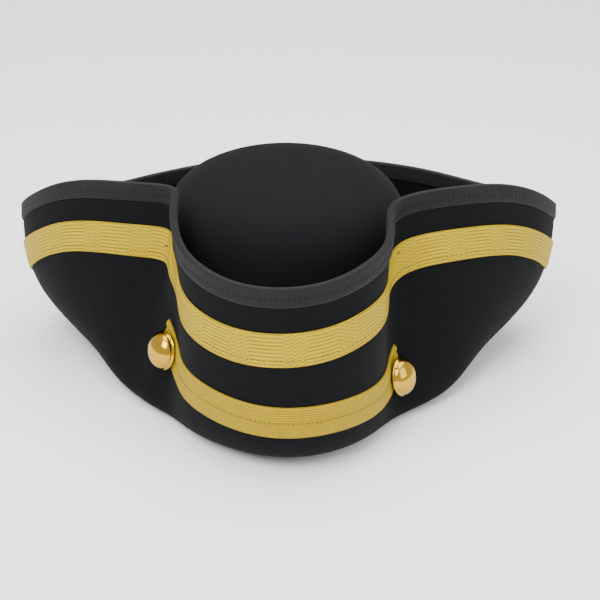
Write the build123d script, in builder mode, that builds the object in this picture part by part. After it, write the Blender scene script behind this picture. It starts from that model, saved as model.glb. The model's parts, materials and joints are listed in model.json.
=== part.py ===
from build123d import *
import os
from math import cos, pi, sin

import numpy as np

# ---------------------------------------------------------------------------
# Cocked felt hat with three corners, gold braid and two dome buttons.
# Millimetres.  +Z is up, the front lobe of the brim looks along -Y and the
# two wings run out along -X and +X.  The origin is the middle of the head
# opening, on the plane the hat rests on.
# Bearings round the hat are measured from the front (0) to the wearer-left
# side seen from the front (+X, 90) and on to the back (180).
# ---------------------------------------------------------------------------

# felt body
FELT = 3.0
HEAD_HALF_WIDTH = 83.0
HEAD_HALF_LENGTH = 99.0
SOLE_HALF_WIDTH = 89.5
SOLE_HALF_LENGTH = 105.5

# crown: half width and height of the outside, from the base to the middle of the top
CROWN_BASE = 3.0
CROWN_PROFILE = (
    (86.0, 3.0),
    (84.4, 45.0),
    (82.0, 85.0),
    (80.8, 97.0),
    (78.6, 107.0),
    (75.6, 115.0),
    (71.5, 121.0),
    (65.0, 125.6),
    (56.0, 128.5),
    (44.0, 130.0),
    (28.0, 130.8),
)
CROWN_LONGER = 16.0

# rim of the turned-up brim: bearing, reach and height on each side
BEARINGS = (0, 10, 20, 30, 39, 47, 54, 62, 70, 78, 85, 91, 97, 103, 110, 120, 133, 147, 163, 180)
REACH_RIGHT = (155, 151, 139, 122, 103.5, 90, 88, 98, 114, 132,
               148.5, 163.5, 177, 186, 180, 160, 145, 134, 125, 121)
REACH_LEFT = (155, 148, 135, 121, 106, 93.5, 85, 89.5, 106, 126,
              145.5, 161, 174.5, 183, 178, 156, 140.5, 131, 124, 121)
RIM_RIGHT = (124.5, 126, 128.5, 130, 131, 133, 136.5, 139.5, 140, 137.5,
             131, 121, 108, 97, 94.5, 96, 97.5, 98.5, 99, 99)
RIM_LEFT = (124.5, 123, 123.5, 127, 132, 136.5, 140, 140.5, 139.5, 136.5,
            129, 117.5, 104, 92, 90, 91, 92.5, 95, 98, 99)
STEPS_ROUND = 72
SOLE_STEP = 0.9

# trims
BINDING_THICKNESS = 0.8
BINDING_DEPTH = 11.0
BRAID_THICKNESS = 1.2
BRAID_LIFT = 0.2
BRAID_WIDTH = 21.0
UPPER_BRAID_DROP = 26.5
LOWER_BRAID_TOP = 51.0
LOWER_BRAID_BOTTOM = 29.5

# buttons
BUTTON_RADIUS = 12.5
BUTTON_RIM_STANDOFF = 3.2
BUTTON_DOME = 9.0
BUTTON_SHEET = 0.7
BUTTON_BACK_STANDOFF = 6.4
SHANK_WIRE = 0.8
SHANK_LOOP = 2.3
THREAD_WIRE = 0.5
THREAD_HALF_SPAN = 2.5
THREAD_BEND = 1.1
THREAD_CLEAR = 0.5
LEFT_BUTTON_BEARING = -42.0
LEFT_BUTTON_HEIGHT = 46.0
RIGHT_BUTTON_BEARING = 40.0
RIGHT_BUTTON_HEIGHT = 31.5

# inside of the crown
BAND_BOTTOM = 2.0
BAND_TOP = 36.0
BAND_THICKNESS = 1.2
LINING_THICKNESS = 0.6
LINING_BOTTOM = 38.5
LINING_TOP = 104.0
TIP_BOTTOM = 105.5
WALL_GAP = 0.4

# brim tacks at the two creases
TACK_HEIGHT = 104.0
TACK_HALF_SPAN = 3.0
TACK_WIRE = 0.5
TACK_BITE = 1.6
TACK_CLEAR = 0.4
LEFT_TACK_BEARING = -56.0
RIGHT_TACK_BEARING = 52.0

ROUND = np.linspace(pi, 3 * pi, STEPS_ROUND, endpoint=False)


def round_hat(right, left):
    """Smooth periodic curve of bearing through the stations of both sides."""
    bearing = list(BEARINGS) + [360 - b for b in BEARINGS[-2:0:-1]] + [360]
    x = np.radians(np.array(bearing, float))
    y = np.array(list(right) + list(left[-2:0:-1]) + [right[0]], float)
    step = np.diff(x)
    slope = np.diff(y) / step
    count = len(step)
    matrix = np.zeros((count, count))
    rhs = np.zeros(count)
    for i in range(count):
        before = (i - 1) % count
        matrix[i, before] += step[before]
        matrix[i, i] += 2 * (step[before] + step[i])
        matrix[i, (i + 1) % count] += step[i]
        rhs[i] = 6 * (slope[i] - slope[before])
    bend = np.linalg.solve(matrix, rhs)
    bend = np.append(bend, bend[0])

    def value(angle):
        angle = np.mod(angle, 2 * pi)
        i = np.clip(np.searchsorted(x, angle, side="right") - 1, 0, count - 1)
        a = (x[i + 1] - angle) / step[i]
        b = (angle - x[i]) / step[i]
        cubic = (a**3 - a) * bend[i] + (b**3 - b) * bend[i + 1]
        return a * y[i] + b * y[i + 1] + cubic * step[i] ** 2 / 6

    return value


rim_reach = round_hat(REACH_RIGHT, REACH_LEFT)
rim_height = round_hat(RIM_RIGHT, RIM_LEFT)


def bump(bearing, centre, width):
    """Bell-shaped weight of a side feature at a bearing in degrees."""
    return np.exp(-(((bearing - centre) / width) ** 2))


def ellipse_radius(angle, half_width, half_length):
    """Radius of an ellipse at a bearing."""
    across = half_length * np.sin(angle)
    along = half_width * np.cos(angle)
    return half_width * half_length / np.sqrt(across**2 + along**2)


def brim_profiles(angle, samples=241):
    """Radius and height along the outside of the brim, one row per bearing.

    Each row leaves the head line flat, turns up and runs to the rim, then goes
    on straight past it so that every level cuts it.
    """
    reach = rim_reach(angle)
    height = rim_height(angle)
    sole = ellipse_radius(angle, SOLE_HALF_WIDTH, SOLE_HALF_LENGTH)
    side = np.abs(np.degrees(np.arctan2(np.sin(angle), np.cos(angle))))
    tip = bump(side, 98.0, 26.0)
    flare = bump(side, 60.0, 19.0)
    pull = bump(side, 38.0, 10.0)
    back = 1 / (1 + np.exp(-(side - 135.0) / 8.0))
    run = (0.95 - 0.13 * tip) * (reach - sole)
    foot = 28.0 + 33.0 * flare - 12.0 * back
    push = 0.5 * (run + np.sqrt(run**2 + 4 * foot**2))
    hold = 0.78 - 0.27 * tip
    corner_r = (sole, sole + push, reach + 4 - 20 * pull, reach)
    corner_z = (0 * height, 0.012 * height, height - hold * height, height)
    t = np.linspace(0, 1, samples)[None, :]
    blend = ((1 - t) ** 3, 3 * t * (1 - t) ** 2, 3 * t**2 * (1 - t), t**3)
    r = sum(b * np.asarray(c)[:, None] for b, c in zip(blend, corner_r))
    z = sum(b * np.asarray(c)[:, None] for b, c in zip(blend, corner_z))
    lean = (reach - corner_r[2]) / (hold * height)
    past = np.linspace(4, 120, 30)[None, :]
    r = np.hstack([r, reach[:, None] + lean[:, None] * past])
    z = np.hstack([z, height[:, None] + past])
    return r, z


def brim_points(angle, height, distance):
    """Points on the brim's outside at a height per bearing, moved out square."""
    nudge = 0.01
    grids = [brim_profiles(angle + turn) for turn in (-nudge, 0.0, nudge)]
    points = []
    for i, bearing in enumerate(angle):
        level = max(float(height[i]), SOLE_STEP)
        side = []
        for turn, (r, z) in zip((-nudge, 0.0, nudge), grids):
            radius = np.interp(level, z[i], r[i])
            a = bearing + turn
            side.append(np.array([radius * sin(a), -radius * cos(a), level]))
        r, z = grids[1]
        here = min(int(np.searchsorted(z[i], level)), z.shape[1] - 2)
        dr = r[i][here + 1] - r[i][here - 1]
        dz = z[i][here + 1] - z[i][here - 1]
        up = np.array([dr * sin(bearing), -dr * cos(bearing), dz])
        square = np.cross(side[2] - side[0], up)
        square = square / np.linalg.norm(square)
        point = side[1] + square * distance
        point[2] += min(float(height[i]) - level, 0.0)
        points.append(tuple(float(c) for c in point))
    return points


def raised(points, amount):
    """The same points moved straight up."""
    return [(x, y, z + amount) for x, y, z in points]


def oval_points(angle, half_width, half_length, level):
    """Points round an oval at one level, one per bearing."""
    radius = ellipse_radius(angle, half_width, half_length)
    return [(float(r * sin(a)), float(-r * cos(a)), level) for r, a in zip(radius, angle)]


def smooth_edge(points, closed):
    """Smooth edge whose points are evenly spaced in parameter."""
    count = len(points) if closed else len(points) - 1
    marks = [i / count for i in range(count + 1)]
    return Edge.make_spline(points, periodic=closed, parameters=marks)


def band_solid(rows, closed=True, flat_base=False):
    """Solid whose section is the polygon through one row of points per corner.

    With a flat base, the first two rows bound one flat ring, the inner row first.
    """
    edges = [smooth_edge(row, closed) for row in rows]
    faces = []
    if flat_base:
        faces.append(Face(Wire([edges[1]]), [Wire([edges[0]])]))
    for i, edge in enumerate(edges):
        if i > 0 or not flat_base:
            faces.append(Face.make_surface_from_curves(edge, edges[(i + 1) % len(edges)]))
    if not closed:
        for end in (0, -1):
            corners = [row[end] for row in rows]
            for k in range(len(corners) // 2 - 1):
                outer_side = Edge.make_line(corners[k], corners[k + 1])
                inner_side = Edge.make_line(corners[-1 - k], corners[-2 - k])
                faces.append(Face.make_surface_from_curves(outer_side, inner_side))
    return Solid(Shell(faces))


def crown_outline(inset):
    """Half width and height along the crown, set in square to its face."""
    points = np.array(CROWN_PROFILE)
    ways = np.gradient(points, axis=0)
    lengths = np.hypot(ways[:, 0], ways[:, 1])
    squares = np.column_stack([-ways[:, 1], ways[:, 0]]) / lengths[:, None]
    return points + squares * inset


def crown_rows(inset, bottom, top):
    """Rows of points up one face of the crown between two levels."""
    outline = crown_outline(inset)
    levels = [bottom] + [z for z in outline[:, 1] if bottom + 1 < z < top - 1]
    if top < outline[-1, 1]:
        levels.append(top)
    else:
        levels = levels[:-1] + [outline[-1, 1]]
    widths = np.interp(levels, outline[:, 1], outline[:, 0])
    return [oval_points(ROUND, w, w + CROWN_LONGER, float(z)) for w, z in zip(widths, levels)]


def chain(edges):
    """Ruled faces between neighbouring edges of a row."""
    return [Face.make_surface_from_curves(a, b) for a, b in zip(edges, edges[1:])]


def dome_shell(gap, thickness, bottom):
    """Closed-top layer of the crown from a level upward."""
    outer = [smooth_edge(row, True) for row in crown_rows(gap, bottom, 500.0)]
    inner = [smooth_edge(row, True) for row in crown_rows(gap + thickness, bottom, 500.0)]
    faces = chain(outer) + chain(inner)
    faces.append(Face.make_surface_from_curves(outer[0], inner[0]))
    faces.append(Face(Wire([outer[-1]])))
    faces.append(Face(Wire([inner[-1]])))
    return Solid(Shell(faces))


def ring_shell(gap, thickness, bottom, top):
    """Open layer inside the crown wall between two levels."""
    outer = crown_rows(gap, bottom, top)
    inner = crown_rows(gap + thickness, bottom, top)
    return band_solid(outer + inner[::-1])


def button_plane(bearing, height):
    """Plane on the braid's face, its Z pointing straight out of the hat."""
    base = np.radians(bearing)
    spread = 0.02
    angle = base + np.array([-spread, 0.0, spread])
    r, z = brim_profiles(angle)
    level = [height - 1.0, height, height + 1.0]
    side = [np.interp(height, z[i], r[i]) for i in range(3)]
    rise = [np.interp(h, z[1], r[1]) for h in level]
    point = Vector(side[1] * sin(base), -side[1] * cos(base), height)
    ends = [Vector(side[i] * sin(angle[i]), -side[i] * cos(angle[i]), height) for i in (0, 2)]
    along = (ends[1] - ends[0]).normalized()
    out = Vector(sin(base), -cos(base), 0)
    up = (out * (rise[2] - rise[0]) + Vector(0, 0, 2.0)).normalized()
    normal = along.cross(up).normalized()
    if normal.dot(out) < 0:
        normal = normal * -1
    return Plane(origin=point + normal * BRAID_THICKNESS, x_dir=along, z_dir=normal)


left_plane = button_plane(LEFT_BUTTON_BEARING, LEFT_BUTTON_HEIGHT)
right_plane = button_plane(RIGHT_BUTTON_BEARING, RIGHT_BUTTON_HEIGHT)


def needle_holes(plane):
    """Two small holes through braid and felt for the button's thread."""
    with BuildPart() as holes:
        with BuildSketch(plane.offset(2.0)):
            with Locations((0, THREAD_HALF_SPAN), (0, -THREAD_HALF_SPAN)):
                Circle(THREAD_WIRE + 0.4)
        extrude(amount=-12.0)
    return holes.part


def placed(shape, plane, label):
    """Move a finished piece from its own axes onto the hat and write it."""
    moved = plane.location * shape
    moved.label = label
    export_step(moved, f"parts/{label}.step")
    return moved


def button_shell(plane, label):
    """Hollow dome of thin metal with a rolled rim."""
    top = BUTTON_RIM_STANDOFF + BUTTON_DOME
    with BuildPart() as shell:
        with BuildSketch(Plane.XZ):
            with BuildLine():
                Polyline((0, top - BUTTON_SHEET), (0, top))
                Spline((0, top), (BUTTON_RADIUS * 0.6, top - 2.2), (BUTTON_RADIUS, BUTTON_RIM_STANDOFF + 0.6),
                       tangents=((1, 0), (0, -1)))
                Polyline((BUTTON_RADIUS, BUTTON_RIM_STANDOFF + 0.6), (BUTTON_RADIUS, BUTTON_RIM_STANDOFF),
                         (BUTTON_RADIUS - BUTTON_SHEET, BUTTON_RIM_STANDOFF),
                         (BUTTON_RADIUS - BUTTON_SHEET, BUTTON_RIM_STANDOFF + 0.6))
                Spline((BUTTON_RADIUS - BUTTON_SHEET, BUTTON_RIM_STANDOFF + 0.6),
                       (BUTTON_RADIUS * 0.6 - 0.45, top - 2.2 - 0.55), (0, top - BUTTON_SHEET),
                       tangents=((0, 1), (-1, 0)))
            make_face()
        revolve(axis=Axis.Z)
    return placed(shell.part, plane, label)


def button_back(plane, label):
    """Thin disc that closes the dome from behind."""
    with BuildPart() as back:
        with BuildSketch(Plane.XY.offset(BUTTON_BACK_STANDOFF)):
            Circle(BUTTON_RADIUS - BUTTON_SHEET - 1.75)
        extrude(amount=0.6)
    return placed(back.part, plane, label)


def button_shank(plane, label):
    """Wire loop under the back disc."""
    middle = BUTTON_BACK_STANDOFF - SHANK_LOOP - SHANK_WIRE * 0.5
    with BuildPart() as shank:
        with BuildSketch(Plane.XZ):
            with Locations((SHANK_LOOP, 0)):
                Circle(SHANK_WIRE)
        revolve(axis=Axis.Z)
    loop = Location((0, 0, middle), (90, 0, 0)) * shank.part
    with BuildPart() as trimmed:
        add(loop)
        with BuildSketch(Plane.XY.offset(BUTTON_BACK_STANDOFF)):
            Rectangle(20, 20)
        extrude(amount=10, mode=Mode.SUBTRACT)
    return placed(trimmed.part, plane, label)


def thread_ring(wide, high, wire):
    """Closed thread of round section, a rounded rectangle in the XY plane."""
    with BuildSketch(Plane.XY) as outline:
        RectangleRounded(wide, high, THREAD_BEND)
    path = outline.sketch.wires()[0]
    with BuildPart() as ring:
        with BuildSketch(Plane(origin=path @ 0, z_dir=path % 0)):
            Circle(wire)
        sweep(path=path)
    return ring.part


def button_thread(plane, label):
    """Closed loop of thread through the felt and the shank."""
    eye = BUTTON_BACK_STANDOFF - SHANK_LOOP - SHANK_WIRE * 0.5
    top = eye + SHANK_LOOP - SHANK_WIRE - THREAD_WIRE - 0.8
    bottom = -(BRAID_THICKNESS + FELT + THREAD_WIRE + THREAD_CLEAR)
    ring = thread_ring(2 * THREAD_HALF_SPAN, top - bottom, THREAD_WIRE)
    upright = Plane(origin=(0, 0, (top + bottom) / 2), x_dir=(0, 1, 0), z_dir=(1, 0, 0))
    return placed(upright.location * ring, plane, label)


def finish(shape, label):
    """Name a piece that is already in place and write it."""
    shape.label = label
    export_step(shape, f"parts/{label}.step")
    return shape


def below_rim(drop):
    """Height curve a fixed drop below the rim."""
    return lambda angle: rim_height(angle) - drop


def lower_braid_edge(base):
    """Height curve of one edge of the lower braid; beyond the buttons it dips."""

    def height(angle):
        side = np.degrees(np.arctan2(np.sin(angle), np.cos(angle)))
        lift = np.where(side < 0, LEFT_BUTTON_HEIGHT, RIGHT_BUTTON_HEIGHT) - 40.0
        share = np.clip(np.abs(side) / 43.0, 0, 1) ** 2
        front = base + lift * share
        wing = 0.30 * rim_height(angle) * base / LOWER_BRAID_BOTTOM * 0.8
        turn = 1 / (1 + np.exp(-(np.abs(side) - 70.0) / 5.0))
        return front * (1 - turn) + wing * turn

    return height


def strip(curves, inner, outer, closed=True, angle=None):
    """Band of even thickness on the brim through the given height curves."""
    bearings = ROUND if angle is None else angle
    front = [brim_points(bearings, curve(bearings), outer) for curve in curves]
    rear = [brim_points(bearings, curve(bearings), inner) for curve in reversed(curves)]
    return band_solid(front + rear, closed)


def brim_tack(bearing, wire):
    """Small ring of thread that holds the crease of the brim to the crown."""
    base = np.radians(bearing)
    r, z = brim_profiles(np.array([base]))
    widths = [point[0] for point in CROWN_PROFILE]
    heights = [point[1] for point in CROWN_PROFILE]
    half_width = float(np.interp(TACK_HEIGHT, heights, widths))
    crown_face = float(ellipse_radius(base, half_width, half_width + CROWN_LONGER))
    brim_face = float(np.interp(TACK_HEIGHT, z[0], r[0])) - FELT
    middle = (crown_face + brim_face) / 2
    ring = thread_ring(brim_face - crown_face + 2 * TACK_BITE, 2 * TACK_HALF_SPAN, wire)
    plane = Plane(
        origin=(middle * sin(base), -middle * cos(base), TACK_HEIGHT),
        x_dir=(sin(base), -cos(base), 0),
        z_dir=(0, 0, 1),
    )
    return plane.location * ring


os.makedirs("parts", exist_ok=True)

sole_curves = [lambda angle, z=level: 0 * angle + z for level in (0.0, 1.2, 3.0, 6.5, 14.0)]
lower_curves = [lower_braid_edge(LOWER_BRAID_BOTTOM), lower_braid_edge(LOWER_BRAID_TOP)]
upper_curves = [below_rim(UPPER_BRAID_DROP + BRAID_WIDTH), below_rim(UPPER_BRAID_DROP)]
rim_curves = [below_rim(BINDING_DEPTH), below_rim(0.0)]
wall_curves = sole_curves + lower_curves + upper_curves + rim_curves

left_tunnel = brim_tack(LEFT_TACK_BEARING, TACK_WIRE + TACK_CLEAR)
right_tunnel = brim_tack(RIGHT_TACK_BEARING, TACK_WIRE + TACK_CLEAR)

brim_rows = [oval_points(ROUND, HEAD_HALF_WIDTH, HEAD_HALF_LENGTH, 0.0)]
brim_rows += [brim_points(ROUND, curve(ROUND), 0.0) for curve in wall_curves]
brim_rows += [brim_points(ROUND, curve(ROUND), -FELT) for curve in reversed(wall_curves[1:])]
brim_rows += [oval_points(ROUND, HEAD_HALF_WIDTH, HEAD_HALF_LENGTH, FELT)]
with BuildPart() as brim_felt:
    add(band_solid(brim_rows, flat_base=True))
    add(needle_holes(left_plane), mode=Mode.SUBTRACT)
    add(needle_holes(right_plane), mode=Mode.SUBTRACT)
    add(left_tunnel, mode=Mode.SUBTRACT)
    add(right_tunnel, mode=Mode.SUBTRACT)
finish(brim_felt.part, "brim_felt")

low, top = (curve(ROUND) for curve in rim_curves)
cover_out, cover_in = BINDING_THICKNESS, -FELT - BINDING_THICKNESS
binding_rows = [
    brim_points(ROUND, low, cover_out),
    brim_points(ROUND, top, cover_out),
    raised(brim_points(ROUND, top, 0.0), BINDING_THICKNESS),
    raised(brim_points(ROUND, top, -FELT), BINDING_THICKNESS),
    brim_points(ROUND, top, cover_in),
    brim_points(ROUND, low, cover_in),
    brim_points(ROUND, low, -FELT),
    brim_points(ROUND, top, -FELT),
    brim_points(ROUND, top, 0.0),
    brim_points(ROUND, low, 0.0),
]
with BuildPart() as edge_binding:
    add(band_solid(binding_rows))
finish(edge_binding.part, "edge_binding")

with BuildPart() as upper_braid:
    add(strip(upper_curves, 0.0, BRAID_THICKNESS))
finish(upper_braid.part, "upper_braid")

braid_bearings = np.radians(np.linspace(LEFT_BUTTON_BEARING - 6, RIGHT_BUTTON_BEARING + 6, 31))
with BuildPart() as lower_braid:
    add(strip(lower_curves, BRAID_LIFT, BRAID_THICKNESS, False, braid_bearings))
    add(needle_holes(left_plane), mode=Mode.SUBTRACT)
    add(needle_holes(right_plane), mode=Mode.SUBTRACT)
finish(lower_braid.part, "lower_braid")

with BuildPart() as crown_felt:
    add(dome_shell(0.0, FELT, CROWN_BASE))
    add(left_tunnel, mode=Mode.SUBTRACT)
    add(right_tunnel, mode=Mode.SUBTRACT)
finish(crown_felt.part, "crown_felt")

with BuildPart() as sweatband:
    add(ring_shell(FELT + WALL_GAP, BAND_THICKNESS, BAND_BOTTOM, BAND_TOP))
finish(sweatband.part, "sweatband")

with BuildPart() as lining_side:
    add(ring_shell(FELT + WALL_GAP, LINING_THICKNESS, LINING_BOTTOM, LINING_TOP))
finish(lining_side.part, "lining_side")

with BuildPart() as lining_tip:
    add(dome_shell(FELT + WALL_GAP, LINING_THICKNESS, TIP_BOTTOM))
finish(lining_tip.part, "lining_tip")

for side, plane in (("left", left_plane), ("right", right_plane)):
    button_shell(plane, f"{side}_button_shell")
    button_back(plane, f"{side}_button_back")
    button_shank(plane, f"{side}_button_shank")
    button_thread(plane, f"{side}_button_thread")

finish(brim_tack(LEFT_TACK_BEARING, TACK_WIRE), "left_brim_tack")
finish(brim_tack(RIGHT_TACK_BEARING, TACK_WIRE), "right_brim_tack")
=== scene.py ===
import json
from math import cos, pi, radians, sin

import bmesh
import bpy
import numpy as np
from bpy.props import FloatProperty, FloatVectorProperty, PointerProperty
from mathutils import Matrix, Vector


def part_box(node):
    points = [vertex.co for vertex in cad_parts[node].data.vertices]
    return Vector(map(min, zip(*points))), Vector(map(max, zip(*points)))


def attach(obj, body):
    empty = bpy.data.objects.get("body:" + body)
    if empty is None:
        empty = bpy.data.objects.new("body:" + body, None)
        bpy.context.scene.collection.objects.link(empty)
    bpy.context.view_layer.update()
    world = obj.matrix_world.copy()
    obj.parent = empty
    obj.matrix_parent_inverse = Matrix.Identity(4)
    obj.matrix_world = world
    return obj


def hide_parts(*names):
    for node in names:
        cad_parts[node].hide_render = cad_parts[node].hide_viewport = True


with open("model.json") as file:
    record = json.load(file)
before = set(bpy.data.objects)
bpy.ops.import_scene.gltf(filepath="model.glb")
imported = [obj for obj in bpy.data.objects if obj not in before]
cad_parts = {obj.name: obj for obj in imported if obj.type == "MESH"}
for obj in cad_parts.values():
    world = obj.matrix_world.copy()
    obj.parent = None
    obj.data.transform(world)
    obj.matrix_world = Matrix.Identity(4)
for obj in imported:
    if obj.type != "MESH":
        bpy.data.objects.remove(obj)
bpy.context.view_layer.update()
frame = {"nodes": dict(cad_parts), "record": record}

bl_info = {
    "name": "Cocked Felt Hat",
    "version": (1, 0, 0),
    "blender": (4, 5, 0),
    "location": "3D View > Sidebar > Hat",
    "description": "Builds a three-cornered felt hat with braid and dome buttons",
    "category": "Add Mesh",
}

MM = 0.001

# rim of the turned-up brim: bearing from the front, reach and height in mm
BEARINGS = (0, 10, 20, 30, 39, 47, 54, 62, 70, 78, 85, 91, 97, 103, 110, 120, 133, 147, 163, 180)
REACH_RIGHT = (155, 151, 139, 122, 103.5, 90, 88, 98, 114, 132,
               148.5, 163.5, 177, 186, 180, 160, 145, 134, 125, 121)
REACH_LEFT = (155, 148, 135, 121, 106, 93.5, 85, 89.5, 106, 126,
              145.5, 161, 174.5, 183, 178, 156, 140.5, 131, 124, 121)
RIM_RIGHT = (124.5, 126, 128.5, 130, 131, 133, 136.5, 139.5, 140, 137.5,
             131, 121, 108, 97, 94.5, 96, 97.5, 98.5, 99, 99)
RIM_LEFT = (124.5, 123, 123.5, 127, 132, 136.5, 140, 140.5, 139.5, 136.5,
            129, 117.5, 104, 92, 90, 91, 92.5, 95, 98, 99)
CROWN_PROFILE = ((86.0, 3.0), (84.4, 45.0), (82.0, 85.0), (80.8, 97.0), (78.6, 107.0), (75.6, 115.0),
                 (71.5, 121.0), (65.0, 125.6), (56.0, 128.5), (44.0, 130.0), (28.0, 130.8))
CROWN_LONGER = 16.0
FELT = 3.0


# ---------------------------------------------------------------------------
# shape of the brim and crown
# ---------------------------------------------------------------------------
def smooth_round(right, left):
    """Smooth closed curve of bearing through the stations of both sides."""
    bearing = list(BEARINGS) + [360 - b for b in BEARINGS[-2:0:-1]] + [360]
    x = np.radians(np.array(bearing, float))
    y = np.array(list(right) + list(left[-2:0:-1]) + [right[0]], float)
    step = np.diff(x)
    slope = np.diff(y) / step
    count = len(step)
    matrix = np.zeros((count, count))
    rhs = np.zeros(count)
    for i in range(count):
        before = (i - 1) % count
        matrix[i, before] += step[before]
        matrix[i, i] += 2 * (step[before] + step[i])
        matrix[i, (i + 1) % count] += step[i]
        rhs[i] = 6 * (slope[i] - slope[before])
    bend = np.linalg.solve(matrix, rhs)
    bend = np.append(bend, bend[0])

    def value(angle):
        angle = np.mod(angle, 2 * pi)
        i = np.clip(np.searchsorted(x, angle, side="right") - 1, 0, count - 1)
        a = (x[i + 1] - angle) / step[i]
        b = (angle - x[i]) / step[i]
        cubic = (a**3 - a) * bend[i] + (b**3 - b) * bend[i + 1]
        return a * y[i] + b * y[i + 1] + cubic * step[i] ** 2 / 6

    return value


rim_reach = smooth_round(REACH_RIGHT, REACH_LEFT)
rim_height = smooth_round(RIM_RIGHT, RIM_LEFT)


def oval_radius(angle, half_width, half_length):
    """Radius of an oval at a bearing."""
    return half_width * half_length / np.hypot(half_length * np.sin(angle), half_width * np.cos(angle))


def brim_profile(angle, t):
    """Radius and height (mm) of the brim's outside; t runs 0 to 1 from head line to rim."""
    reach = rim_reach(angle)
    height = rim_height(angle)
    sole = oval_radius(angle, 89.5, 105.5)
    side = np.abs(np.degrees(np.arctan2(np.sin(angle), np.cos(angle))))
    tip = np.exp(-(((side - 98.0) / 26.0) ** 2))
    flare = np.exp(-(((side - 60.0) / 19.0) ** 2))
    pull = np.exp(-(((side - 38.0) / 10.0) ** 2))
    back = 1 / (1 + np.exp(-(side - 135.0) / 8.0))
    run = (0.95 - 0.13 * tip) * (reach - sole)
    foot = 28.0 + 33.0 * flare - 12.0 * back
    push = 0.5 * (run + np.sqrt(run**2 + 4 * foot**2))
    hold = 0.78 - 0.27 * tip
    corner_r = (sole, sole + push, reach + 4 - 20 * pull, reach)
    corner_z = (0 * height, 0.012 * height, height - hold * height, height)
    t = np.asarray(t)[None, :]
    blend = ((1 - t) ** 3, 3 * t * (1 - t) ** 2, 3 * t**2 * (1 - t), t**3)
    r = sum(b * c[:, None] for b, c in zip(blend, corner_r))
    z = sum(b * c[:, None] for b, c in zip(blend, corner_z))
    return r, z


def place(angle, r, z):
    """Points in mm from bearings, radii and heights."""
    return np.stack([r * np.sin(angle)[:, None], -r * np.cos(angle)[:, None], z], -1)


def outward(points, around):
    """Unit normals of a grid of points, away from the hat's middle."""
    if around:
        wide = np.concatenate([points[-2:-1], points, points[1:2]])
        along = (wide[2:] - wide[:-2])
    else:
        along = np.gradient(points, axis=0)
    up = np.gradient(points, axis=1)
    square = np.cross(along, up)
    return square / np.maximum(np.linalg.norm(square, axis=2, keepdims=True), 1e-9)


def wall_at(angle, levels, around=True):
    """Points and outward normals on the brim at given heights, one row of heights per bearing."""
    t = np.linspace(0, 1, 160)
    r, z = brim_profile(angle, t)
    radius = np.array([np.interp(levels[i], z[i], r[i]) for i in range(len(angle))])
    points = place(angle, radius, levels)
    return points, outward(points, around)


def crown_grid(angle, inset, t):
    """Points over the crown's face, set in square to it; t runs 0 to 1 from base to middle of top."""
    profile = np.array(CROWN_PROFILE + ((0.0, 131.0),))
    ways = np.gradient(profile, axis=0)
    ways[-1] = (-1.0, 0.0)
    squares = np.column_stack([-ways[:, 1], ways[:, 0]]) / np.hypot(ways[:, 0], ways[:, 1])[:, None]
    moved = profile + squares * inset
    length = np.concatenate([[0], np.cumsum(np.hypot(*np.diff(moved, axis=0).T))])
    t = np.asarray(t) * length[-1]
    w = np.interp(t, length, moved[:, 0])
    z = np.interp(t, length, moved[:, 1])
    for _ in range(3):
        w[1:-1] = (w[:-2] + 2 * w[1:-1] + w[2:]) / 4
        z[1:-1] = (z[:-2] + 2 * z[1:-1] + z[2:]) / 4
    longer = CROWN_LONGER * np.clip(w / 40.0, 0, 1)
    a, b = w[None, :], (w + longer)[None, :]
    r = a * b / np.maximum(np.hypot(b * np.sin(angle)[:, None], a * np.cos(angle)[:, None]), 1e-6)
    return place(angle, r, np.repeat(z[None, :], len(angle), 0))


# ---------------------------------------------------------------------------
# mesh helpers
# ---------------------------------------------------------------------------
def link(mesh, name, material, body="root"):
    """Put a mesh into the scene, give it its material and tie it to a body."""
    piece = bpy.data.objects.new(name, mesh)
    bpy.context.scene.collection.objects.link(piece)
    if not mesh.materials:
        mesh.materials.append(material)
    for face in mesh.polygons:
        face.use_smooth = True
    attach(piece, body)
    return piece


def band_mesh(name, points, along, across, close_section=True):
    """Mesh over a grid of points; the section may close on itself, and so may the way round."""
    if close_section:
        points = np.concatenate([points, points[:, :1]], 1)
        across = np.concatenate([across, across[:, -1:] + 1e-3], 1)
        along = np.concatenate([along, along[:, :1]], 1)
    columns, rows = points.shape[:2]
    bm = bmesh.new()
    uv = bm.loops.layers.uv.new("UVMap")
    bmesh.ops.create_grid(bm, x_segments=columns - 1, y_segments=rows - 1, size=1.0)
    index = {}
    for v in bm.verts:
        i = int(round((v.co.x + 1) / 2 * (columns - 1)))
        j = int(round((v.co.y + 1) / 2 * (rows - 1)))
        index[v] = (i, j)
    for face in bm.faces:
        for loop in face.loops:
            i, j = index[loop.vert]
            loop[uv].uv = (along[i, j], across[i, j])
    for v, (i, j) in index.items():
        v.co = Vector(points[i, j]) * MM
    bmesh.ops.remove_doubles(bm, verts=bm.verts, dist=1e-7)
    open_edges = [e for e in bm.edges if e.is_boundary]
    if open_edges and close_section:
        bmesh.ops.holes_fill(bm, edges=open_edges, sides=0)
    bmesh.ops.recalc_face_normals(bm, faces=bm.faces)
    mesh = bpy.data.meshes.new(name)
    bm.to_mesh(mesh)
    bm.free()
    return mesh


def lengths(points):
    """Running length along the first axis of a grid and across the second, in metres."""
    middle = points[:, points.shape[1] // 2]
    run = np.concatenate([[0], np.cumsum(np.linalg.norm(np.diff(middle, axis=0), axis=1))]) * MM
    step = np.linalg.norm(np.diff(points, axis=1), axis=2).mean(0)
    cross = np.concatenate([[0], np.cumsum(step)]) * MM
    return np.repeat(run[:, None], points.shape[1], 1), np.repeat(cross[None, :], points.shape[0], 0)


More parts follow.
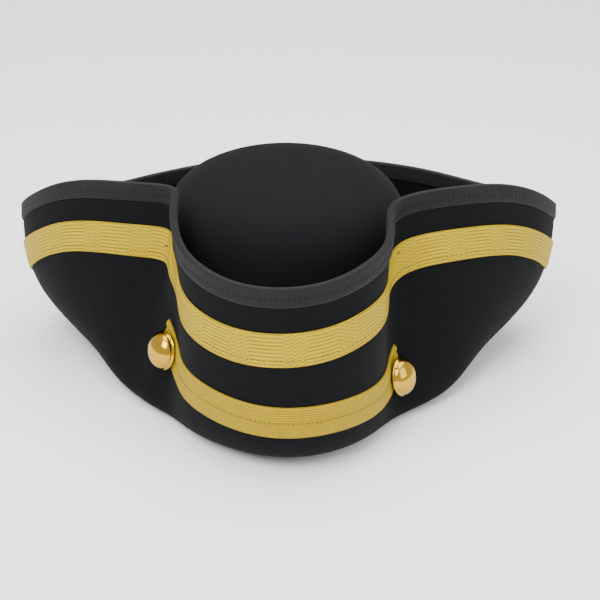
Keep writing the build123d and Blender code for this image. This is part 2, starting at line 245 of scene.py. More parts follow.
def stitch_row(bm, points, normals, ways, length, width, sink):
    """Row of small rounded stitches lying on a surface."""
    for p, n, w in zip(points, normals, ways):
        n = Vector(n).normalized()
        w = Vector(w).normalized()
        side = n.cross(w).normalized()
        turn = Matrix((w, side, n)).transposed().to_4x4()
        size = Matrix.Diagonal((length / 2, width / 2, width / 2, 1))
        spot = Matrix.Translation((Vector(p) + n * sink) * MM)
        made = bmesh.ops.create_icosphere(bm, subdivisions=1, radius=1.0)
        bmesh.ops.transform(bm, matrix=spot @ turn @ Matrix.Scale(MM, 4) @ size, verts=made["verts"])


# ---------------------------------------------------------------------------
# materials
# ---------------------------------------------------------------------------
def new_material(name, colour, roughness, **sockets):
    """Material with one Principled shader and plain socket values."""
    material = bpy.data.materials.new(name)
    material.use_nodes = True
    shader = material.node_tree.nodes["Principled BSDF"]
    shader.inputs["Base Color"].default_value = (*colour, 1)
    shader.inputs["Roughness"].default_value = roughness
    for key, value in sockets.items():
        shader.inputs[key.replace("_", " ")].default_value = value
    return material, material.node_tree, shader


def add_node(tree, kind, **values):
    """Node with some of its inputs or settings filled in."""
    node = tree.nodes.new(kind)
    for key, value in values.items():
        if key in node.inputs:
            node.inputs[key].default_value = value
        else:
            setattr(node, key, value)
    return node


def fibre_group():
    """Shared effect: soft cloudy variation and fine fibres from a vector."""
    group = bpy.data.node_groups.get("fibre_grain")
    if group:
        return group
    group = bpy.data.node_groups.new("fibre_grain", "ShaderNodeTree")
    face = group.interface
    face.new_socket("Vector", in_out="INPUT", socket_type="NodeSocketVector")
    for label, value in (("Cloud Scale", 90.0), ("Fibre Scale", 2600.0)):
        socket = face.new_socket(label, in_out="INPUT", socket_type="NodeSocketFloat")
        socket.default_value = value
    for label in ("Cloud", "Fibre", "Height"):
        face.new_socket(label, in_out="OUTPUT", socket_type="NodeSocketFloat")
    enter = group.nodes.new("NodeGroupInput")
    leave = group.nodes.new("NodeGroupOutput")
    cloud = add_node(group, "ShaderNodeTexNoise", Detail=4.0, Roughness=0.55)
    fibre = add_node(group, "ShaderNodeTexNoise", Detail=3.0, Roughness=0.65, Distortion=1.2)
    for noise, scale in ((cloud, "Cloud Scale"), (fibre, "Fibre Scale")):
        group.links.new(enter.outputs["Vector"], noise.inputs["Vector"])
        group.links.new(enter.outputs[scale], noise.inputs["Scale"])
    mix = add_node(group, "ShaderNodeMath", operation="MULTIPLY_ADD")
    mix.inputs[1].default_value = 0.35
    group.links.new(cloud.outputs["Fac"], mix.inputs[0])
    group.links.new(fibre.outputs["Fac"], mix.inputs[2])
    group.links.new(cloud.outputs["Fac"], leave.inputs["Cloud"])
    group.links.new(fibre.outputs["Fac"], leave.inputs["Fibre"])
    group.links.new(mix.outputs[0], leave.inputs["Height"])
    return group


def grained(name, colour, lighter, roughness, cloud, fibre, bump, source="Object", **sockets):
    """Material whose colour, roughness and relief come from the shared fibre effect."""
    material, tree, shader = new_material(name, colour, roughness, **sockets)
    where = add_node(tree, "ShaderNodeTexCoord")
    grain = tree.nodes.new("ShaderNodeGroup")
    grain.node_tree = fibre_group()
    grain.inputs["Cloud Scale"].default_value = cloud
    grain.inputs["Fibre Scale"].default_value = fibre
    tree.links.new(where.outputs[source], grain.inputs["Vector"])
    ramp = tree.nodes.new("ShaderNodeValToRGB")
    ramp.color_ramp.elements[0].position = 0.32
    ramp.color_ramp.elements[0].color = (*colour, 1)
    ramp.color_ramp.elements[1].position = 0.72
    ramp.color_ramp.elements[1].color = (*lighter, 1)
    tree.links.new(grain.outputs["Height"], ramp.inputs["Fac"])
    tree.links.new(ramp.outputs["Color"], shader.inputs["Base Color"])
    span = add_node(tree, "ShaderNodeMapRange")
    span.inputs["To Min"].default_value = roughness - 0.08
    span.inputs["To Max"].default_value = min(roughness + 0.08, 1.0)
    tree.links.new(grain.outputs["Cloud"], span.inputs["Value"])
    tree.links.new(span.outputs["Result"], shader.inputs["Roughness"])
    relief = add_node(tree, "ShaderNodeBump", Strength=bump, Distance=0.0004)
    tree.links.new(grain.outputs["Height"], relief.inputs["Height"])
    tree.links.new(relief.outputs["Normal"], shader.inputs["Normal"])
    return material, tree, shader, relief, ramp


def woven(name, colour, shade, roughness, pitch_along, pitch_across, bump, slant=0.0, **sockets):
    """Material with threads crossing at two pitches on the piece's own UV map, in metres. The colour ramp paints
    shade into the grooves between threads, mixed with random tone.
    """
    material, tree, shader = new_material(name, colour, roughness, **sockets)
    where = add_node(tree, "ShaderNodeTexCoord")
    split = add_node(tree, "ShaderNodeSeparateXYZ")
    tree.links.new(where.outputs["UV"], split.inputs[0])
    waves = []
    for axis, pitch in (("X", pitch_along), ("Y", pitch_across)):
        place_at = add_node(tree, "ShaderNodeMath", operation="MULTIPLY")
        place_at.inputs[1].default_value = 2 * pi / pitch
        tree.links.new(split.outputs[axis], place_at.inputs[0])
        tail = place_at
        if axis == "X" and slant:
            lean = add_node(tree, "ShaderNodeMath", operation="MULTIPLY_ADD")
            lean.inputs[1].default_value = 2 * pi * slant / pitch
            tree.links.new(split.outputs["Y"], lean.inputs[0])
            tree.links.new(place_at.outputs[0], lean.inputs[2])
            tail = lean
        wave = add_node(tree, "ShaderNodeMath", operation="SINE")
        tree.links.new(tail.outputs[0], wave.inputs[0])
        waves.append(wave)
    both = add_node(tree, "ShaderNodeMath", operation="MULTIPLY_ADD")
    both.inputs[1].default_value = 0.8
    tree.links.new(waves[0].outputs[0], both.inputs[0])
    tree.links.new(waves[1].outputs[0], both.inputs[2])
    span = add_node(tree, "ShaderNodeMapRange")
    span.inputs["From Min"].default_value = -1.8
    span.inputs["From Max"].default_value = 1.8
    tree.links.new(both.outputs[0], span.inputs["Value"])
    uneven = add_node(tree, "ShaderNodeTexNoise", Scale=420.0, Detail=3.0)
    tree.links.new(where.outputs["UV"], uneven.inputs["Vector"])
    blend = add_node(tree, "ShaderNodeMath", operation="MULTIPLY_ADD")
    blend.inputs[1].default_value = 0.5
    tree.links.new(uneven.outputs["Fac"], blend.inputs[0])
    tree.links.new(span.outputs["Result"], blend.inputs[2])
    # colour ramp: random tone from the noise plus painted shade, darkest where the weave dips between threads
    ramp = tree.nodes.new("ShaderNodeValToRGB")
    ramp.color_ramp.elements[0].position = 0.25
    ramp.color_ramp.elements[0].color = (*shade, 1)
    ramp.color_ramp.elements[1].position = 0.85
    ramp.color_ramp.elements[1].color = (*colour, 1)
    tree.links.new(blend.outputs[0], ramp.inputs["Fac"])
    tree.links.new(ramp.outputs["Color"], shader.inputs["Base Color"])
    relief = add_node(tree, "ShaderNodeBump", Strength=bump, Distance=0.0004)
    tree.links.new(blend.outputs[0], relief.inputs["Height"])
    tree.links.new(relief.outputs["Normal"], shader.inputs["Normal"])
    return material


def cord_group():
    """Shared effect: cords along a braid that break into zigzags at intervals, from its UV map in metres."""
    group = bpy.data.node_groups.get("braid_cords")
    if group:
        return group
    group = bpy.data.node_groups.new("braid_cords", "ShaderNodeTree")
    group.interface.new_socket("Vector", in_out="INPUT", socket_type="NodeSocketVector")
    for label, value in (("Cord Pitch", 0.0024), ("Repeat", 0.034), ("Zigzag", 0.0016), ("Slant Pitch", 0.0009)):
        socket = group.interface.new_socket(label, in_out="INPUT", socket_type="NodeSocketFloat")
        socket.default_value = value
    for label in ("Height", "Mask"):
        group.interface.new_socket(label, in_out="OUTPUT", socket_type="NodeSocketFloat")
    enter = group.nodes.new("NodeGroupInput")
    leave = group.nodes.new("NodeGroupOutput")

    def math(operation, *values):
        node = add_node(group, "ShaderNodeMath", operation=operation)
        for k, value in enumerate(values):
            if isinstance(value, (int, float)):
                node.inputs[k].default_value = value
            else:
                group.links.new(value, node.inputs[k])
        return node.outputs[0]

    split = group.nodes.new("ShaderNodeSeparateXYZ")
    group.links.new(enter.outputs["Vector"], split.inputs[0])
    u, v = split.outputs["X"], split.outputs["Y"]
    part = math("FRACT", math("DIVIDE", u, enter.outputs["Repeat"]))
    zone = math("LESS_THAN", part, 0.40)
    swing = math("PINGPONG", math("MULTIPLY", part, 7.5), 0.5)
    shift = math("MULTIPLY", math("MULTIPLY", swing, zone), enter.outputs["Zigzag"])
    lane = math("DIVIDE", math("ADD", v, shift), enter.outputs["Cord Pitch"])
    cord = math("SQRT", math("ABSOLUTE", math("SINE", math("MULTIPLY", lane, pi))))
    side = math("MULTIPLY", math("SUBTRACT", math("FLOORED_MODULO", math("FLOOR", lane), 2.0), 0.5), 2.0)
    lean = math("ADD", u, math("MULTIPLY", math("MULTIPLY", v, side), 0.8))
    ply = math("SINE", math("MULTIPLY", math("DIVIDE", lean, enter.outputs["Slant Pitch"]), 2 * pi))
    group.links.new(math("ADD", math("MULTIPLY", cord, 0.85), math("MULTIPLY", ply, 0.13)), leave.inputs["Height"])
    group.links.new(cord, leave.inputs["Mask"])
    return group


def braided(name, colour, shade, pitch, repeat, zigzag, slant):
    """Metallic yarn braid finish whose cords come from the shared cord effect. The colour ramp paints shade into
    the grooves between cords, mixed with random tone.
    """
    material, tree, shader = new_material(name, colour, 0.55, Metallic=0.0, Specular_IOR_Level=0.18)
    where = tree.nodes.new("ShaderNodeTexCoord")
    cords = tree.nodes.new("ShaderNodeGroup")
    cords.node_tree = cord_group()
    for label, value in (("Cord Pitch", pitch), ("Repeat", repeat), ("Zigzag", zigzag), ("Slant Pitch", slant)):
        cords.inputs[label].default_value = value
    tree.links.new(where.outputs["UV"], cords.inputs["Vector"])
    uneven = add_node(tree, "ShaderNodeTexNoise", Scale=160.0, Detail=4.0)
    tree.links.new(where.outputs["UV"], uneven.inputs["Vector"])
    tone = add_node(tree, "ShaderNodeMath", operation="MULTIPLY_ADD")
    tone.inputs[1].default_value = 0.35
    tree.links.new(uneven.outputs["Fac"], tone.inputs[0])
    tree.links.new(cords.outputs["Height"], tone.inputs[2])
    # colour ramp: random tone from the noise plus painted shade, darkest where the cords dip between each other
    ramp = tree.nodes.new("ShaderNodeValToRGB")
    ramp.color_ramp.elements[0].position = 0.30
    ramp.color_ramp.elements[0].color = (*shade, 1)
    ramp.color_ramp.elements[1].position = 0.92
    ramp.color_ramp.elements[1].color = (*colour, 1)
    tree.links.new(tone.outputs[0], ramp.inputs["Fac"])
    tree.links.new(ramp.outputs["Color"], shader.inputs["Base Color"])
    relief = add_node(tree, "ShaderNodeBump", Strength=0.8, Distance=0.0006)
    tree.links.new(cords.outputs["Height"], relief.inputs["Height"])
    tree.links.new(relief.outputs["Normal"], shader.inputs["Normal"])
    return material


def hat_materials():
    """Every finish of the hat, built once."""
    sizes = bpy.context.scene.hat_sizes
    felt = tuple(sizes.felt_colour)
    gold = tuple(sizes.braid_colour)
    finishes = {}
    finishes["felt"] = grained("wool_felt", felt, tuple(c * 1.9 for c in felt), 0.88, 70, 1900, 0.35,
                               Sheen_Weight=0.015, Sheen_Roughness=0.4, Specular_IOR_Level=0.08)[0]
    # the ribbon's second colour is painted shade for the grooves between its ribs
    finishes["ribbon"] = woven("grosgrain_ribbon", (0.0085, 0.0090, 0.0092), (0.0012, 0.0012, 0.0013), 0.66,
                               0.0014, 0.0006, 0.8, Specular_IOR_Level=0.18, Sheen_Weight=0.03)
    # for both braids the second colour, the gold scaled down, is painted shade between the cords
    finishes["braid"] = braided("gold_braid", gold, tuple(c * f for c, f in zip(gold, (0.38, 0.32, 0.2))),
                                0.0024, 0.034, 0.0034, 0.0011)
    low_gold = tuple(c * f for c, f in zip(gold, (0.86, 0.84, 0.9)))
    finishes["braid_low"] = braided("gold_braid_fine", low_gold,
                                    tuple(c * f for c, f in zip(low_gold, (0.46, 0.40, 0.2))),
                                    0.0017, 0.006, 0.0008, 0.0009)
    finishes["gold_thread"] = grained("gold_thread", (0.05, 0.025, 0.001), (0.12, 0.06, 0.003), 0.5, 400, 5000,
                                      0.3, Metallic=0.3)[0]
    finishes["black_thread"] = grained("black_thread", (0.0010, 0.0010, 0.0011), (0.006, 0.006, 0.0062), 0.7, 400,
                                       5000, 0.3, Specular_IOR_Level=0.1)[0]
    finishes["button"] = grained("polished_brass", (0.44, 0.25, 0.02), (0.52, 0.31, 0.03), 0.14, 60, 1400,
                                 0.02, Metallic=1.0)[0]
    finishes["button_back"] = grained("pressed_brass", (0.40, 0.27, 0.12), (0.55, 0.38, 0.18), 0.42, 150,
                                      2400, 0.12, Metallic=1.0)[0]
    finishes["band"] = grained("sweatband_hide", (0.014, 0.013, 0.012), (0.035, 0.032, 0.030), 0.48, 260,
                               1500, 0.6, Specular_IOR_Level=0.45)[0]
    # the satin's second colour is painted shade for the grooves between its threads
    finishes["satin"] = woven("satin_lining", (0.045, 0.045, 0.05), (0.018, 0.018, 0.021), 0.32,
                              0.0004, 0.0007, 0.15, Sheen_Weight=0.3)
    return finishes


FINISH = {}


# ---------------------------------------------------------------------------
# operators
# ---------------------------------------------------------------------------
class HatSizes(bpy.types.PropertyGroup):
    """Sizes and colours a maker would change."""

    felt_colour: FloatVectorProperty(name="Felt colour", description="Colour of the felt", subtype="COLOR",
                                     default=(0.0020, 0.0023, 0.0027), size=3, min=0, max=1)
    braid_colour: FloatVectorProperty(name="Braid colour", description="Colour of the gold braid",
                                      subtype="COLOR", default=(0.46, 0.32, 0.0), size=3, min=0, max=1)
    cord_height: FloatProperty(name="Braid cord height", description="Relief of the braid's cords, in metres",
                               default=0.00035, unit="LENGTH", subtype="DISTANCE")
    rib_pitch: FloatProperty(name="Ribbon rib pitch", description="Distance between the ribbon's ribs",
                             default=0.0014, unit="LENGTH", subtype="DISTANCE")
    stitch_pitch: FloatProperty(name="Stitch pitch", description="Distance from stitch to stitch",
                                default=0.0034, unit="LENGTH", subtype="DISTANCE")


class HAT_OT_materials(bpy.types.Operator):
    """Make the felt, ribbon, braid, metal, hide and satin finishes"""

    bl_idname = "hat.materials"
    bl_label = "Materials"

    def execute(self, context):
        FINISH.update(hat_materials())
        return {"FINISHED"}


def round_hat(count):
    """Bearings once round the hat from the back, the last one repeating the first."""
    return np.linspace(pi, 3 * pi, count + 1)


class HAT_OT_brim(bpy.types.Operator):
    """Felt brim, turned up into a front lobe and two wings"""

    bl_idname = "hat.brim"
    bl_label = "Brim"

    def execute(self, context):
        angle = round_hat(360)
        t = np.concatenate([np.linspace(0.0, 0.9, 34), np.linspace(0.925, 1, 4)])
        r, z = brim_profile(angle, t)
        outside = place(angle, r, z)
        square = outward(outside, True)
        ripple = 0.25 * np.sin(9 * angle)[:, None] * np.sin(pi * t)[None, :]
        outside = outside + square * (ripple[..., None] - 0.25)
        inside = outside - square * (FELT - 0.3)
        outside[:, 0, 2] = 0.3
        head = oval_radius(angle, 83.3, 99.3)[:, None]
        head_low = place(angle, head, np.full_like(head, 0.3))
        head_high = place(angle, head, np.full_like(head, FELT))
        top = (outside[:, -1] + inside[:, -1])[:, None] / 2 + np.array([0, 0, 0.4])
        points = np.concatenate([head_low, outside, top, inside[:, ::-1], head_high], 1)
        along, across = lengths(points)
        mesh = band_mesh("brim", points, along, across)
        piece = link(mesh, "brim", FINISH["felt"])
        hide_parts("brim_felt")
        return {"FINISHED"}


class HAT_OT_crown(bpy.types.Operator):
    """Felt crown, a flat-topped oval dome"""

    bl_idname = "hat.crown"
    bl_label = "Crown"

    def execute(self, context):
        angle = round_hat(180)
        t = np.linspace(0, 1, 60)
        outside = crown_grid(angle, 0.2, t)
        inside = crown_grid(angle, FELT, t)
        dent = 0.5 * np.sin(3 * angle + 0.7)[:, None] * np.sin(pi * np.clip(t * 1.1, 0, 1))[None, :] ** 2
        outside[:, :, 2] += dent * 0.4
        points = np.concatenate([outside, inside[:, ::-1]], 1)
        along, across = lengths(points)
        mesh = band_mesh("crown", points, along, across)
        piece = link(mesh, "crown", FINISH["felt"])
        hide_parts("crown_felt")
        return {"FINISHED"}


class HAT_OT_binding(bpy.types.Operator):
    """Ribbed ribbon folded over the brim's rim, with its row of stitches"""

    bl_idname = "hat.binding"
    bl_label = "Edge binding"

    def execute(self, context):
        sizes = context.scene.hat_sizes
        around = 1020.0
        ribs = int(around / (sizes.rib_pitch / MM))
        angle = round_hat(ribs * 3)
        rim = rim_height(angle)[:, None]
        drops = np.linspace(11.0, 0.0, 8)[None, :]
        face, square = wall_at(angle, rim - drops)
        phase = (np.arange(len(angle)) % 3 == 1)[:, None]
        rib = np.where(phase, 0.16, 0.0)
        rise = np.repeat(rib, drops.shape[1], 1)
        front = face + square * (0.72 + rise)[..., None]
        front[:, 0] = face[:, 0] + square[:, 0] * 0.15
        back = face - square * (FELT + 0.55 + rise)[..., None]
        back[:, 0] = face[:, 0] - square[:, 0] * (FELT + 0.1)
        lift = np.array([0, 0, 1.0])
        fold = []
        for share, height in ((0.0, 0.25), (0.3, 0.62), (0.7, 0.62), (1.0, 0.25)):
            point = front[:, -1] * (1 - share) + back[:, -1] * share
            fold.append((point + lift * (height + 0.9 * rib))[:, None])
        under_back = face[:, ::-1] - square[:, ::-1] * (FELT - 0.2)
        under_front = face + square * -0.2
        points = np.concatenate([front, *fold, back[:, ::-1],
                                 under_back[:, -1:], under_back[:, :1], under_front[:, -1:], under_front[:, :1]], 1)
        along, across = lengths(points)
        mesh = band_mesh("edge_binding_ribbon", points, along, across)
        piece = link(mesh, "edge_binding_ribbon", FINISH["ribbon"])
        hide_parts("edge_binding")
        count = int(around / (sizes.stitch_pitch / MM))
        spots = np.linspace(0, 2 * pi, count, endpoint=False)
        bm = bmesh.new()
        for drop, out in ((6.0, 0.85), (7.0, -FELT - 0.7)):
            p, n = wall_at(spots, (rim_height(spots) - drop)[:, None] + np.array([[0.0, 0.01]]), False)
            way = np.gradient(p[:, 0], axis=0)
            stitch_row(bm, p[:, 0] + n[:, 0] * out, n[:, 0], way, 2.1, 0.5, 0.0)
        mesh = bpy.data.meshes.new("binding_stitches")
        bm.to_mesh(mesh)
        bm.free()
        piece = link(mesh, "binding_stitches", FINISH["black_thread"])
        return {"FINISHED"}


class HAT_OT_upper_braid(bpy.types.Operator):
    """Gold braid all round the brim below the binding, with its stitches"""

    bl_idname = "hat.upper_braid"
    bl_label = "Upper braid"

    def execute(self, context):
        sizes = context.scene.hat_sizes
        angle = round_hat(1500)
        rim = rim_height(angle)[:, None]
        share = np.linspace(0, 1, 29)[None, :]
        drops = 47.5 - 21.0 * share
        face, square = wall_at(angle, rim - drops)
        run, cross = lengths(face)
        relief = np.abs(np.sin(pi * cross / 0.0024)) * sizes.cord_height / MM
        edge = np.clip(np.minimum(share, 1 - share) * 14, 0, 1) ** 0.5
        scallop = np.abs(np.sin(pi * run / 0.0021)) * 0.25 * (edge < 0.9)
        front = face + square * (0.25 + (0.55 + relief) * edge + scallop)[..., None]
        rear = face - square[:, :] * 0.15
        points = np.concatenate([front, rear[:, ::-1][:, ::7]], 1)
        along, across = lengths(points)
        mesh = band_mesh("upper_braid_tape", points, along, across)
        piece = link(mesh, "upper_braid_tape", FINISH["braid"])
        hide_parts("upper_braid")
        spots = np.linspace(0, 2 * pi, int(1020 * MM / sizes.stitch_pitch), endpoint=False)
        bm = bmesh.new()
        for drop in (43.3,):
            p, n = wall_at(spots, (rim_height(spots) - drop)[:, None] + np.array([[0.0, 0.01]]), False)
            stitch_row(bm, p[:, 0] + n[:, 0] * 1.02, n[:, 0], np.gradient(p[:, 0], axis=0), 1.6, 0.7, 0.0)
        mesh = bpy.data.meshes.new("upper_braid_stitches")
        bm.to_mesh(mesh)
        bm.free()
        piece = link(mesh, "upper_braid_stitches", FINISH["gold_thread"])
        return {"FINISHED"}


LEFT_END, RIGHT_END = -44.5, 42.5


def lower_edge(angle, base):
    """Height of one edge of the lower braid, rising toward the buttons."""
    side = np.degrees(np.arctan2(np.sin(angle), np.cos(angle)))
    lift = np.where(side < 0, 6.0, -8.5)
    return base + lift * np.clip(np.abs(side) / 43.0, 0, 1) ** 2


class HAT_OT_lower_braid(bpy.types.Operator):
    """Gold braid across the front lobe, gathered at its ends under the buttons"""

    bl_idname = "hat.lower_braid"
    bl_label = "Lower braid"

    def execute(self, context):
        sizes = context.scene.hat_sizes
        side = np.linspace(LEFT_END, RIGHT_END, 420)
        angle = np.radians(side)
        share = np.linspace(0, 1, 29)[None, :]
        low = lower_edge(angle, 29.5)[:, None]
        high = lower_edge(angle, 51.0)[:, None]
        near = np.clip(1 - np.minimum(side - LEFT_END, RIGHT_END - side) / 9.0, 0, 1)[:, None] ** 1.6
        high = high + 7.0 * near
        low = low + 9.0 * near
        levels = low + (high - low) * share
        face, square = wall_at(angle, levels, False)
        run, cross = lengths(face)
        relief = np.abs(np.sin(pi * cross / 0.0215 * 13)) * sizes.cord_height / MM * 0.6
        groove = 0.35 * np.exp(-(((share - 0.5) / 0.03) ** 2))
        edge = np.clip(np.minimum(share, 1 - share) * 14, 0, 1) ** 0.5
        pleat = near * 0.9 * np.abs(np.sin(pi * 4 * share))
        front = face + square * (0.3 + (0.6 + relief - groove + pleat) * edge)[..., None]
        rear = face - square * 0.1
        points = np.concatenate([front, rear[:, ::-1][:, ::7]], 1)
        along, across = lengths(points)
        mesh = band_mesh("lower_braid_tape", points, along, across)
        piece = link(mesh, "lower_braid_tape", FINISH["braid_low"])
        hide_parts("lower_braid")
        spots = np.radians(np.linspace(LEFT_END + 7, RIGHT_END - 7, 74))
        level = (lower_edge(spots, 29.5) + lower_edge(spots, 51.0))[:, None] / 2
        p, n = wall_at(spots, level + np.array([[0.0, 0.01]]), False)
        bm = bmesh.new()
        stitch_row(bm, p[:, 0] + n[:, 0] * 0.85, n[:, 0], np.gradient(p[:, 0], axis=0), 1.8, 0.6, 0.0)
        mesh = bpy.data.meshes.new("lower_braid_stitches")
        bm.to_mesh(mesh)
        bm.free()
        piece = link(mesh, "lower_braid_stitches", FINISH["gold_thread"])
        return {"FINISHED"}


def joint_frame(name):
    """Point and axis of a button's joint."""
    for joint in frame["record"]["behaviour"]["joints"]:
        if joint["name"] == name:
            return Vector(joint["pos_m"]), Vector(joint["axis"]).normalized()
    raise ValueError(name)


class HAT_OT_buttons(bpy.types.Operator):
    """Two polished domes with rolled rims, on their shanks and threads"""

    bl_idname = "hat.buttons"
    bl_label = "Buttons"

    def execute(self, context):
        for side in ("left", "right"):
            spot, axis = joint_frame(side + "_button_turn")
            turn = axis.to_track_quat("Z", "Y").to_matrix().to_4x4()
            bm = bmesh.new()
            radius, rim, top = 12.5, 3.2, 12.2
            profile = [(0.0, top - 0.7), (radius * 0.5, top - 1.9), (radius - 1.9, rim + 2.6),
                       (radius - 0.8, rim + 0.5), (radius - 0.9, rim), (radius - 0.35, rim - 0.05),
                       (radius, rim + 0.45), (radius - 0.2, rim + 0.95), (radius - 0.55, rim + 1.15)]
            for k in range(1, 13):
                swing = radians(9 + 81 * k / 12)
                profile.append(((radius - 0.5) * cos(swing), rim + 0.5 + (top - rim - 0.5) * sin(swing)))
            verts = [bm.verts.new((x * MM, 0, z * MM)) for x, z in profile]
            edges = [bm.edges.new(pair) for pair in zip(verts, verts[1:])]
            bmesh.ops.spin(bm, geom=verts + edges, cent=(0, 0, 0), axis=(0, 0, 1), angle=2 * pi, steps=72,
                           use_merge=True)
            bmesh.ops.remove_doubles(bm, verts=bm.verts, dist=1e-6)
            bmesh.ops.recalc_face_normals(bm, faces=bm.faces)
            bmesh.ops.transform(bm, matrix=Matrix.Translation(spot) @ turn, verts=bm.verts)
            mesh = bpy.data.meshes.new(side + "_button_dome")
            bm.to_mesh(mesh)
            bm.free()
            piece = link(mesh, side + "_button_dome", FINISH["button"], side + "_button")
            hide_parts(side + "_button_shell")
            for part in ("back", "shank"):
                node = frame["nodes"][f"{side}_button_{part}"]
                for index in range(len(node.material_slots)):
                    node.material_slots[index].material = FINISH["button_back"]
        return {"FINISHED"}


class HAT_OT_threads(bpy.types.Operator):
    """Button threads and the two tacks at the creases, twisted from two plies"""

    bl_idname = "hat.threads"
    bl_label = "Threads"

    def ring(self, name, node, centre, x_way, y_way, half_x, half_y):
        bm = bmesh.new()
        steps, plies = 96, 2
        for ply in range(plies):
            for k in range(steps):
                share = 2 * pi * k / steps
                power = 0.5
                cx, cy = cos(share), sin(share)
                x = half_x * np.sign(cx) * abs(cx) ** power
                y = half_y * np.sign(cy) * abs(cy) ** power
                twist = share * 14 + pi * ply
                off = 0.2 * MM
                radial = (x_way * cx + y_way * cy).normalized()
                normal = x_way.cross(y_way).normalized()
                spot = centre + x_way * x + y_way * y + radial * off * cos(twist) + normal * off * sin(twist)
                made = bmesh.ops.create_icosphere(bm, subdivisions=1, radius=0.27 * MM)
                bmesh.ops.translate(bm, vec=spot, verts=made["verts"])
        mesh = bpy.data.meshes.new(name)
        bm.to_mesh(mesh)
        bm.free()
        piece = link(mesh, name, FINISH["black_thread"])
        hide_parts(node)

    def execute(self, context):
        for side in ("left", "right"):
            spot, axis = joint_frame(side + "_button_turn")
            level = Vector((0, 0, 1)).cross(axis).normalized()
            rise = axis.cross(level).normalized()
            node = side + "_button_thread"
            middle = (Vector(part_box(node)[0]) + Vector(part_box(node)[1])) / 2
            self.ring(side + "_button_cord", node, middle, axis, rise, 4.1 * MM, 2.5 * MM)
            node = side + "_brim_tack"
            low, high = (Vector(c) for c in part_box(node))
            middle = (low + high) / 2
            out = Vector((middle.x, middle.y, 0)).normalized()
            self.ring(side + "_tack_cord", node, middle, out, Vector((-out.y, out.x, 0)), 5.0 * MM, 3.0 * MM)
        return {"FINISHED"}


class HAT_OT_inside(bpy.types.Operator):
    """Sweatband and the two pieces of the lining"""

    bl_idname = "hat.inside"
    bl_label = "Sweatband and lining"

    def execute(self, context):
        angle = round_hat(360)
        profile = np.array(CROWN_PROFILE)

        def ring(level, inset):
            width = np.interp(level, profile[:, 1], profile[:, 0]) - inset
            return place(angle, oval_radius(angle, width, width + CROWN_LONGER)[:, None],
                         np.full((len(angle), 1), float(level)))

        rows = [ring(2.2, 3.5), ring(10, 3.45), ring(20, 3.45), ring(35, 3.45), ring(35.9, 3.7), ring(35.9, 4.4),
                ring(35.0, 4.6), ring(28, 4.7), ring(12, 4.75), ring(3.4, 4.6), ring(2.1, 4.3)]
        points = np.concatenate(rows, 1)
        mesh = band_mesh("sweatband_strip", points, *lengths(points))
        piece = link(mesh, "sweatband_strip", FINISH["band"])
        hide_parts("sweatband")
        rows = []
        pleat = 0.22 * np.sin(46 * angle)[:, None, None]
        outs = np.stack([np.sin(angle), -np.cos(angle), 0 * angle], -1)[:, None, :]
        for level in np.linspace(38.6, 103.8, 12):
            rows.append(ring(level, 3.7) + outs * pleat * 0.6)
        for level in np.linspace(103.8, 38.6, 12):
            rows.append(ring(level, 4.1) + outs * pleat * 0.6)
        points = np.concatenate(rows, 1)
        mesh = band_mesh("lining_side_cloth", points, *lengths(points))
        piece = link(mesh, "lining_side_cloth", FINISH["satin"])
        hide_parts("lining_side")
        t = np.linspace(0.56, 1, 30)
        outer = crown_grid(angle, 3.6, t)
        inner = crown_grid(angle, 4.0, t)
        points = np.concatenate([outer, inner[:, ::-1]], 1)
        mesh = band_mesh("lining_tip_cloth", points, *lengths(points))
        piece = link(mesh, "lining_tip_cloth", FINISH["satin"])
        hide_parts("lining_tip")
        return {"FINISHED"}


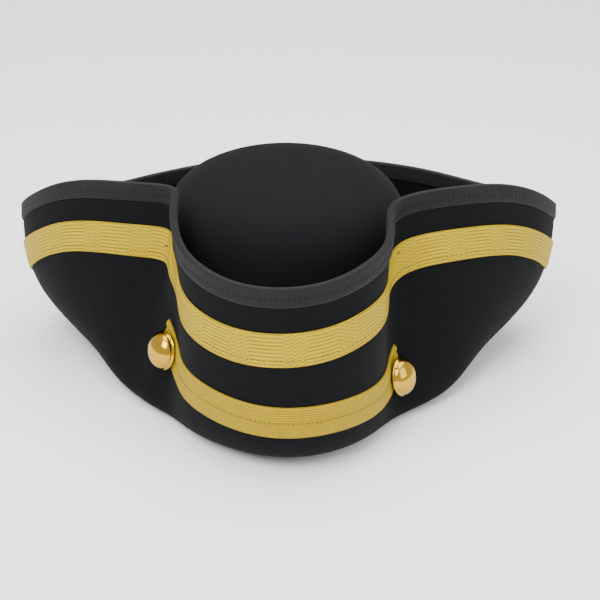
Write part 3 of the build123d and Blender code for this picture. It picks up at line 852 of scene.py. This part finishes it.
class HAT_OT_stage(bpy.types.Operator):
    """Pale floor, soft studio lights and the camera"""

    bl_idname = "hat.stage"
    bl_label = "Stage"

    def execute(self, context):
        bm = bmesh.new()
        bmesh.ops.create_grid(bm, x_segments=2, y_segments=2, size=6.0)
        mesh = bpy.data.meshes.new("studio_floor")
        bm.to_mesh(mesh)
        bm.free()
        floor = bpy.data.objects.new("studio_floor", mesh)
        context.scene.collection.objects.link(floor)
        mesh.materials.append(grained("studio_paper", (0.95, 0.95, 0.95), (0.97, 0.97, 0.97), 0.8, 3, 40, 0.02)[0])
        world = bpy.data.worlds.new("studio_world")
        world.use_nodes = True
        world.node_tree.nodes["Background"].inputs["Color"].default_value = (1, 1, 1, 1)
        world.node_tree.nodes["Background"].inputs["Strength"].default_value = 1.0
        context.scene.world = world
        for name, power, size, spot in (("key_light", 30, 0.9, (-0.55, -0.9, 1.25)),
                                        ("fill_light", 12, 1.2, (1.0, -0.8, 0.9)),
                                        ("top_light", 26, 1.4, (0.1, 0.25, 1.5))):
            data = bpy.data.lights.new(name, "AREA")
            data.energy = power
            data.size = size
            lamp = bpy.data.objects.new(name, data)
            lamp.location = spot
            lamp.rotation_euler = (Vector((0, 0, 0.06)) - Vector(spot)).to_track_quat("-Z", "Y").to_euler()
            context.scene.collection.objects.link(lamp)
        data = bpy.data.cameras.new("camera")
        data.lens = 89.7
        data.sensor_width = 36
        data.clip_end = 50
        camera = bpy.data.objects.new("camera", data)
        aim = Vector((0.0099, 0, 0.0431))
        away = Vector((0, -cos(radians(26)), sin(radians(26))))
        camera.location = aim + away
        look = (-away).to_track_quat("-Z", "Y").to_matrix()
        camera.rotation_euler = (look @ Matrix.Rotation(radians(0.7), 3, "Z")).to_euler()
        context.scene.collection.objects.link(camera)
        context.scene.camera = camera
        return {"FINISHED"}


class HAT_PT_panel(bpy.types.Panel):
    """Sidebar panel that lists the hat's pieces"""

    bl_idname = "HAT_PT_panel"
    bl_label = "Cocked felt hat"
    bl_space_type = "VIEW_3D"
    bl_region_type = "UI"
    bl_category = "Hat"

    def draw(self, context):
        for key in HatSizes.__annotations__:
            self.layout.prop(context.scene.hat_sizes, key)
        for name in STEPS:
            self.layout.operator("hat." + name)


STEPS = ("stage", "materials", "brim", "crown", "binding", "upper_braid", "lower_braid", "buttons", "threads",
         "inside")
CLASSES = (HatSizes, HAT_OT_materials, HAT_OT_brim, HAT_OT_crown, HAT_OT_binding, HAT_OT_upper_braid,
           HAT_OT_lower_braid, HAT_OT_buttons, HAT_OT_threads, HAT_OT_inside, HAT_OT_stage, HAT_PT_panel)


def register():
    for cls in CLASSES:
        bpy.utils.register_class(cls)
    bpy.types.Scene.hat_sizes = PointerProperty(type=HatSizes)


def unregister():
    del bpy.types.Scene.hat_sizes
    for cls in reversed(CLASSES):
        bpy.utils.unregister_class(cls)


def main():
    register()
    for name in STEPS:
        getattr(bpy.ops.hat, name)()


if __name__ == "__main__":
    main()
